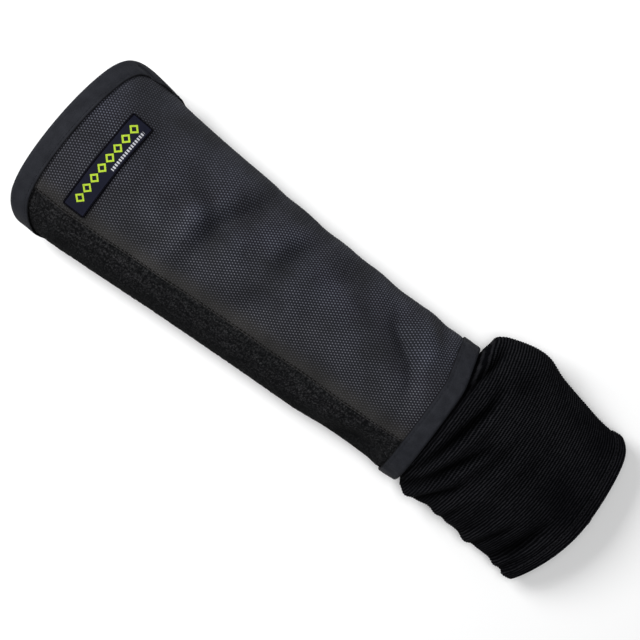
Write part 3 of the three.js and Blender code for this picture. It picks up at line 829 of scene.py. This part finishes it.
# Sharper folds where the knit bunches up, in the same way as the creases above
CUFF_CREASES = (
    # breadth, then x, y, depth
    (2.8, ((354, 70, 0), (354, 60, 2.6), (353, 49, 3.8), (350, 35, 3.2), (349, 18, 0.8))),
    (3.0, ((362, 62, 0), (362, 54, -1.0), (361, 44, -1.6), (358, 25, -1.0), (355, 8, 0))),
    (
        3.6,
        (
            (370, 46, 0),
            (370, 31, 2.6),
            (370, 20, 4.0),
            (367, 6, 4.6),
            (364, -9, 4.4),
            (359, -30, 3.0),
            (352, -52, 1.0),
        ),
    ),
    (4.0, ((378, 30, 0), (377, 12, -1.4), (374, -5, -1.8), (368, -26, -1.6), (358, -50, -0.8))),
    (3.4, ((390, 6, 0), (387, -6, 2.4), (380, -19, 4.0), (374, -31, 4.2), (367, -46, 3.6), (350, -68, 2.0))),
    (3.0, ((390, -30, 0), (384, -45, 3.2), (375, -57, 3.4), (362, -72, 2.0))),
    (3.6, ((460, -20, 0), (454, -37, 3.2), (449, -50, 4.0), (436, -74, 2.2))),
    (3.0, ((440, -34, 0), (434, -47, 2.6), (422, -68, 2.2))),
    (3.2, ((404, -40, 0), (396, -56, 1.8), (388, -76, 2.0))),
    (3.2, ((420, -44, 0), (413, -58, 1.6), (405, -76, 2.0))),
    (2.8, ((460, -48, 0), (453, -62, 1.8), (445, -80, 2.0))),
    (6.0, ((408, 22, 0), (400, 0, 1.8), (393, -22, 1.8), (385, -36, 0))),
    (8.0, ((384, 64, 0), (382, 48, 1.6), (380, 30, 0))),
    (8.0, ((430, 30, 0), (424, 5, 1.2), (416, -20, 1.2), (410, -36, 0))),
)


def cuff_edge(angle):
    """The x of the cuff's end, which is shorter at both sides."""
    sideways = np.cos(angle + TUBE_TWIST)
    short = np.where(sideways > 0, CUFF_SHORT_OUTER, CUFF_SHORT_INNER) * sideways**2
    corner = CORNER_SHORT * np.maximum(sideways, 0) ** CORNER_SHARPNESS
    return BODY_LENGTH + CUFF_LENGTH - short - corner


def smooth_knit(x, angle):
    """The knit's own face past the wrist edge, without its folds."""
    share = (x - BODY_LENGTH) / CUFF_LENGTH
    outer = read_table(CUFF_SECTIONS, "outer", share) * WRIST_WIDTH / 2
    inner = -read_table(CUFF_SECTIONS, "inner", share) * WRIST_WIDTH / 2
    high = read_table(CUFF_SECTIONS, "high", share) * WRIST_HEIGHT
    return lying_section(x, angle + TUBE_TWIST, outer, inner, high, 0)


def cuff(x, angle):
    """The outer face of the cuff: behind the tape inside the tube, then opening to its own shape."""
    tucked = under(body, np.minimum(x, BODY_LENGTH), angle, TUCK_DEPTH)
    tucked[..., 0] = x
    opened = smooth(x - wrist_edge(angle) - FOLD_REACH - LAYER_GAP, 0, CUFF_BLOOM)
    point = smooth_knit(x, angle)
    hem = cuff_edge(angle) - HEM_WIDTH
    rise = dents_at(CUFF_FOLDS, x - BODY_LENGTH, point[..., 1], CUFF_LENGTH, WRIST_WIDTH / 2, 0)
    rise = (rise + creases_at(CUFF_CREASES, x, point[..., 1])) * top_share(angle)
    rise = rise + HEM_RISE * smooth(x, hem - HEM_RISE, hem)
    rise = rise - HEM_LINE_DEPTH * np.exp(-(((x - hem) / HEM_LINE_BREADTH) ** 2))
    point = point + normal_of(smooth_knit, x, angle) * rise[..., None]
    point[..., 2] = np.maximum(point[..., 2], 0)
    return tucked + (point - tucked) * opened[..., None]


knit, knit_shader = plain_material("rib_knit", 0.95, specular=0.01)
knit_u, knit_v, knit_uv = cloth_map(knit_shader)
wavering = scaled(speckle(knit_uv, 0.16, 3.0), 1.3, knit_v)
courses = eased_step(cosine_wave(wavering, COURSE_PITCH), -0.5, 1.0)
wales = cosine_wave(scaled(wavering, 0.55, knit_u), WALE_PITCH)
course_share = scaled(wales, 0.28, courses)
course_share = scaled(course_share, scaled(speckle(knit_uv, 0.45, 4.0), 1.9, -0.3))
# The knit is rubbed lighter in patches, and gets painted shade towards the hem.
towards_hem = scaled(eased_step(knit_v, 60.0, 140.0), -0.4, 0.75)
wear_and_hem_shade = scaled(eased_step(speckle(knit_uv, 0.03, 3.0), 0.25, 0.75), 0.7, towards_hem)
course_share = scaled(course_share, wear_and_hem_shade)
knit_colour = mixed_colour(course_share, CUFF_COLOUR, COURSE_COLOUR)
surfaced(knit_shader, scaled_colour(knit_colour, unshaded(knit_shader, 0.85)), course_share, KNIT_RELIEF)

cuff_angles = np.linspace(HIDDEN_SEAM, HIDDEN_SEAM + 2 * math.pi, CUFF_COLUMNS + 1)
row_count = COURSE_STEPS * round((CUFF_LENGTH + CUFF_TUCK) / COURSE_PITCH)
cuff_share = np.linspace(0, 1, row_count + 1)[:, None]
cuff_x = lerp(wrist_edge(cuff_angles) - CUFF_TUCK, cuff_edge(cuff_angles), cuff_share)
cuff_angle = np.broadcast_to(cuff_angles, cuff_x.shape)
past_wrist = cuff_x - wrist_edge(cuff_angles)
ridge = COURSE_RISE / 2 * np.cos(2 * math.pi / COURSE_STEPS * np.arange(row_count + 1))[:, None]
ridge = ridge * smooth(past_wrist, 0, COURSES_FULL) * smooth(np.sin(cuff_angle), *COURSES_FADE)
end_round = END_ROUND * smooth(cuff_share, 1 - 1.5 / row_count, 1)
cuff_outer = under(cuff, cuff_x, cuff_angle, end_round - ridge)
cuff_inner = under(cuff, cuff_x, cuff_angle, CUFF_WALL - end_round - CUFF_INSIDE_RELIEF * ridge)
cuff_outer[:, -1] = cuff_outer[:, 0]
cuff_inner[:, -1] = cuff_inner[:, 0]
cuff_far = measured_round(smooth_knit, np.array([BODY_LENGTH + CUFF_GIRTH_PLACE]), cuff_angles, 0.0)
cuff_along = cuff_share * row_count * COURSE_PITCH / COURSE_STEPS
cuff_cloth = np.stack(np.broadcast_arrays(cuff_far, cuff_along), -1)
# Painted shade in the knit's folds and where it comes out of the tape, and a painted highlight on its ridges.
knit_shade = np.maximum(shade_of(CUFF_CREASES, smooth_knit, cuff_x, cuff_angle), KNIT_RIDGE_HIGHLIGHT)
knit_shade = np.maximum(knit_shade, 1 - smooth(past_wrist, *TUCK_SHADE))
cuff_marks = {"shade": knit_shade}
knit_cuff = merged_cloth("knit_cuff_cloth", cuff_outer, cuff_inner, cuff_cloth, knit, marks=cuff_marks)
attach(knit_cuff, "root")
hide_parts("knit_cuff")

# The label.
# A woven label with a dark border lies across the upper side near the rim. Its design is plain: a row of lime
# diamonds on navy, with a row of small white dashes beside it.
LABEL_LENGTH = 83
LABEL_WIDTH = 19
LABEL_WALL = 0.8
LABEL_FROM_RIM = 37.5
LABEL_OFF_CENTRE = -1.5
LABEL_TILT = math.radians(2.3)
LABEL_ROWS = 38
LABEL_COLUMNS = 166
LABEL_CORNER = 2.4
LABEL_BORDER = 1.6
LABEL_BORDER_RISE = 0.25
LABEL_EDGE_ROUND = 0.35
LABEL_RELIEF = 0.00008
LABEL_THREAD_PITCH = 0.5
DIAMOND_PITCH = 8.9
DIAMOND_HALF = 4.1
DIAMOND_LINE = 1.9
DIAMOND_START = 0.7  # the middle of the first diamond's place, from the label's +Y end
DIAMOND_RUN = (5.2, 76.3)  # the row starts and stops at these distances from it
DIAMOND_ROW = 8.2  # from the label's rim side
DASH_PITCH = 2.2
DASH_LENGTH = 1.24
DASH_HEIGHT = 2.3
DASH_RUN = (7.0, 42.0)
DASH_ROW = 14.9
LABEL_GROUND = (0.0115, 0.0125, 0.0235)
LABEL_EDGE = (0.0007, 0.0007, 0.003)
LIME = (0.46, 0.64, 0.045)
WHITE = (0.55, 0.56, 0.6)


def between(value, low, high):
    """1 where an output lies between two numbers, and 0 elsewhere."""
    return scaled(number_node("GREATER_THAN", value, low), number_node("LESS_THAN", value, high))


label_cloth, label_shader = plain_material("woven_label", 0.6, specular=0.04)
# label_u runs from the +Y end to the -Y end, label_v from the rim's side to the wrist's side
label_u, label_v, label_uv = cloth_map(label_shader)
along_row = number_node("PINGPONG", scaled(label_u, 1.0, -DIAMOND_START), DIAMOND_PITCH / 2)
beside_row = number_node("ABSOLUTE", scaled(label_v, 1.0, -DIAMOND_ROW))
ring = between(number_node("ADD", along_row, beside_row), DIAMOND_HALF - DIAMOND_LINE, DIAMOND_HALF)
lime_share = scaled(ring, between(label_u, *DIAMOND_RUN))
dash = number_node("LESS_THAN", number_node("PINGPONG", label_u, DASH_PITCH / 2), DASH_LENGTH / 2)
dash_row = between(label_v, DASH_ROW - DASH_HEIGHT / 2, DASH_ROW + DASH_HEIGHT / 2)
white_share = scaled(scaled(dash, dash_row), between(label_u, *DASH_RUN))
inside_border = scaled(
    between(label_u, LABEL_BORDER, LABEL_LENGTH - LABEL_BORDER),
    between(label_v, LABEL_BORDER, LABEL_WIDTH - LABEL_BORDER),
)
label_colour = mixed_colour(lime_share, LABEL_GROUND, LIME)
label_colour = mixed_colour(white_share, label_colour, WHITE)
label_colour = mixed_colour(inside_border, LABEL_EDGE, label_colour)
label_thread = cosine_wave(label_v, LABEL_THREAD_PITCH)
label_light = scaled(label_thread, 0.08, scaled(speckle(label_uv, 0.8), 0.4, 0.75))
surfaced(label_shader, scaled_colour(label_colour, label_light), label_thread, LABEL_RELIEF)


def walk_round(surface, x, angle, distance, steps=24):
    """The angles that lie distances further round the surface."""
    turn = STEP / WRIST_WIDTH
    at = angle
    for _ in range(steps):
        ahead = surface(x, at + turn)[..., 1:] - surface(x, at - turn)[..., 1:]
        at = at + distance / steps * 2 * turn / np.linalg.norm(ahead, axis=-1)
    return at


label_back = np.linspace(0, LABEL_WIDTH, LABEL_ROWS + 1)[:, None]
label_aside = np.linspace(LABEL_LENGTH / 2, -LABEL_LENGTH / 2, LABEL_COLUMNS + 1)[None, :]
# The corners are round: near its ends the label is a little narrower.
from_corner = np.maximum(LABEL_CORNER - (LABEL_LENGTH / 2 - np.abs(label_aside)), 0)
narrower = (LABEL_CORNER - np.sqrt(LABEL_CORNER**2 - from_corner**2)) / (LABEL_WIDTH / 2)
rounded_back = lerp(label_back, LABEL_WIDTH / 2, narrower)
label_x = LABEL_FROM_RIM + rounded_back + math.tan(LABEL_TILT) * label_aside
label_angle = walk_round(smooth_body, label_x, math.pi / 2, -LABEL_OFF_CENTRE - label_aside)
from_side = np.minimum(label_back, LABEL_WIDTH - label_back)
from_side = np.minimum(from_side, LABEL_LENGTH / 2 - np.abs(label_aside))
on_border = 1 - smooth(from_side, LABEL_BORDER - 0.3, LABEL_BORDER + 0.3)
border_rise = LABEL_BORDER_RISE * on_border - LABEL_EDGE_ROUND * (1 - smooth(from_side, 0, 0.5))
label_outer = under(body, label_x, label_angle, -LAYER_GAP - LABEL_WALL - border_rise)
label_inner = under(body, label_x, label_angle, -LAYER_GAP)
label_lengths = np.stack(np.broadcast_arrays(LABEL_LENGTH / 2 - label_aside, label_back), -1)
label = merged_cloth("woven_label", label_outer, label_inner, label_lengths, label_cloth)
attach(label, "root")
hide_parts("label")

# The stitches.
# Thread holds the pieces together: a row along the seam that shows, one on each binding, one along the cuff's
# hem and one round the label. The stitches under the sleeve are pressed into the cloth and don't show.
# Each kind of stitch: how far from one to the next, then its length, breadth and height
SEAM_STITCH = (3.4, 2.5, 1.1, 0.9)
TAPE_STITCH = (3.1, 2.2, 0.7, 0.6)
HEM_STITCH = (2.9, 2.0, 0.7, 0.7)
LABEL_STITCH = (2.2, 1.6, 0.6, 0.5)
# How deep in the cloth, or how high on it, a stitch's middle lies
SEAM_STITCH_DEPTH = 0.3
HEM_STITCH_RISE = 0.1
LABEL_STITCH_RISE = 0.2
SEWN_DOWN_TO = math.radians(-28)  # below this on both sides the stitches don't show
SEAM_STITCH_INSET = 1.6
LABEL_STITCH_INSET = 0.8
HEM_STITCH_PLACE = 1.0
THREAD_TWIST = 0.0007  # metres
THREAD_SHINE = 2.2
THREAD_RELIEF = 0.0001
BEAD_SEGMENTS = 8
BEAD_RINGS = 6


def thread_material(name, colour):
    """Twisted thread."""
    material, shader = plain_material(name, 0.7, specular=0.15)
    place = added_node(shader.id_data, "ShaderNodeTexCoord", {}).outputs["Object"]
    parts = added_node(shader.id_data, "ShaderNodeSeparateXYZ", {0: place}).outputs
    twist = cosine_wave(number_node("ADD", parts["X"], parts["Y"]), THREAD_TWIST)
    light = tuple(THREAD_SHINE * part for part in colour)
    surfaced(shader, mixed_colour(eased_step(twist, -1.0, 1.0), colour, light), twist, THREAD_RELIEF)
    return material


def stitch_tree():
    """A node tree that lays a bead of thread on each point of a row, turned the way that the row runs."""
    tree = bpy.data.node_groups.new("stitch_row", "GeometryNodeTree")
    tree.interface.new_socket("Row", in_out="OUTPUT", socket_type="NodeSocketGeometry")
    keys = {}
    for wanted, kind in (
        ("Row", "Geometry"),
        ("Length", "Float"),
        ("Breadth", "Float"),
        ("Height", "Float"),
        ("Seed", "Int"),
        ("Thread", "Material"),
    ):
        socket = tree.interface.new_socket(wanted, in_out="INPUT", socket_type="NodeSocket" + kind)
        keys[wanted] = socket.identifier
    given = tree.nodes.new("NodeGroupInput").outputs
    ball = {"Segments": BEAD_SEGMENTS, "Rings": BEAD_RINGS, "Radius": 0.5}
    bead = added_node(tree, "GeometryNodeMeshUVSphere", ball).outputs["Mesh"]
    sizes = {"X": given["Length"], "Y": given["Breadth"], "Z": given["Height"]}
    size = added_node(tree, "ShaderNodeCombineXYZ", sizes).outputs[0]
    shaped = added_node(tree, "GeometryNodeTransform", {"Geometry": bead, "Scale": size}).outputs[0]
    directions = {}
    for place, mark in enumerate(("out", "ahead")):
        kept = added_node(tree, "GeometryNodeInputNamedAttribute", {"Name": mark}, data_type="FLOAT_VECTOR")
        directions[place] = kept.outputs["Attribute"]
    turned = added_node(tree, "FunctionNodeAxesToRotation", directions, primary_axis="Z", secondary_axis="X")
    spread = {2: 0.85, 3: 1.12, "Seed": given["Seed"]}
    uneven_size = added_node(tree, "FunctionNodeRandomValue", spread, data_type="FLOAT").outputs[1]
    laying = {"Points": given["Row"], "Instance": shaped, "Rotation": turned.outputs[0], "Scale": uneven_size}
    laid = added_node(tree, "GeometryNodeInstanceOnPoints", laying).outputs[0]
    real = added_node(tree, "GeometryNodeRealizeInstances", {0: laid}).outputs[0]
    rounded = added_node(tree, "GeometryNodeSetShadeSmooth", {"Geometry": real}).outputs[0]
    thread = {"Geometry": rounded, "Material": given["Thread"]}
    added_node(tree, "NodeGroupOutput", {0: added_node(tree, "GeometryNodeSetMaterial", thread).outputs[0]})
    return tree, keys


def sewn(name, surface, x, angle, depth, stitch, seed, thread):
    """A row of stitches at places on a surface, in the order that they are sewn."""
    points = under(surface, x, angle, depth)
    mesh = bpy.data.meshes.new(name + "_row")
    mesh.from_pydata((points - MIDDLE) / 1000, [], [])
    for mark, values in (("out", normal_of(surface, x, angle)), ("ahead", np.gradient(points, axis=0))):
        attribute = mesh.attributes.new(mark, "FLOAT_VECTOR", "POINT")
        attribute.data.foreach_set("vector", values.ravel().astype(np.float32))
    row = placed(name + "_row", mesh)
    modifier = row.modifiers.new("stitches", "NODES")
    modifier.node_group = STITCH_TREE
    for wanted, value in zip(("Length", "Breadth", "Height"), stitch[1:]):
        modifier[STITCH_KEYS[wanted]] = value / 1000
    modifier[STITCH_KEYS["Seed"]] = seed
    modifier[STITCH_KEYS["Thread"]] = thread
    evaluated = row.evaluated_get(bpy.context.evaluated_depsgraph_get())
    piece = placed(name, bpy.data.meshes.new_from_object(evaluated))
    piece.data.name = name
    bpy.data.objects.remove(row)
    return piece


def line_on(surface, place, stitch):
    """Evenly spaced angles on a line round a surface, as far down as its stitches show. place gives its x."""
    angles = np.linspace(SEWN_DOWN_TO, math.pi - SEWN_DOWN_TO, 600)
    points = surface(place(angles), angles)
    far = np.concatenate([[0], np.cumsum(np.linalg.norm(np.diff(points, axis=0), axis=-1))])
    return np.interp(np.arange(stitch[0] / 2, far[-1], stitch[0]), far, angles)


STITCH_TREE, STITCH_KEYS = stitch_tree()
dark_thread = thread_material("dark_thread", (0.0016, 0.0013, 0.0012))
tape_thread = thread_material("tape_thread", (0.007, 0.0075, 0.01))
black_thread = thread_material("black_thread", (0.0015, 0.0015, 0.002))

seam_x = np.arange(rim_edge(SEAM) + TAPE_WIDTH + 2, wrist_edge(SEAM) - TAPE_WIDTH - 1, SEAM_STITCH[0])
seam_angle = walk_round(smooth_body, seam_x, SEAM, -SEAM_STITCH_INSET)
seam_row = sewn("seam_stitches", body, seam_x, seam_angle, SEAM_STITCH_DEPTH, SEAM_STITCH, 3, dark_thread)
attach(seam_row, "root")

for row_name, edge, into, waves, depth, seed in (
    ("rim_stitches", rim_edge, 1, rim_waves, RIM_SEAM_DEPTH, 5),
    ("wrist_stitches", wrist_edge, -1, wrist_waves, WRIST_SEAM_DEPTH, 7),
):
    inset = into * (TAPE_WIDTH - TAPE_SEAM_PLACE)
    row_angle = line_on(smooth_body, lambda angle: beside_edge(edge, angle, inset), TAPE_STITCH)
    row_x = beside_edge(edge, row_angle, inset)
    lift = TAPE_OUTSIDE + waves(row_angle, TAPE_WIDTH - TAPE_SEAM_PLACE) - depth
    tape_row = sewn(row_name, body, row_x, row_angle, -lift, TAPE_STITCH, seed, tape_thread)
    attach(tape_row, "root")

hem_angle = line_on(cuff, lambda angle: cuff_edge(angle) - HEM_WIDTH + HEM_STITCH_PLACE, HEM_STITCH)
hem_x = cuff_edge(hem_angle) - HEM_WIDTH + HEM_STITCH_PLACE
hem_row = sewn("hem_stitches", cuff, hem_x, hem_angle, -HEM_STITCH_RISE, HEM_STITCH, 11, black_thread)
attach(hem_row, "root")

# The label's row runs round all four sides.
label_end = LABEL_LENGTH / 2 - LABEL_STITCH_INSET
label_long = np.arange(0, 2 * label_end, LABEL_STITCH[0]) - label_end
label_short = np.arange(0, LABEL_WIDTH - 2 * LABEL_STITCH_INSET, LABEL_STITCH[0]) + LABEL_STITCH_INSET
aside = np.concatenate([label_long, 0 * label_short + label_end])
aside = np.concatenate([aside, -aside])
back = np.concatenate([0 * label_long + LABEL_STITCH_INSET, label_short])
back = np.concatenate([back, LABEL_WIDTH - back])
border_x = LABEL_FROM_RIM + back + math.tan(LABEL_TILT) * aside
border_angle = walk_round(smooth_body, border_x, math.pi / 2, -LABEL_OFF_CENTRE - aside)
label_lift = LAYER_GAP + LABEL_WALL + LABEL_STITCH_RISE
label_row = sewn("label_stitches", body, border_x, border_angle, -label_lift, LABEL_STITCH, 13, black_thread)
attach(label_row, "root")
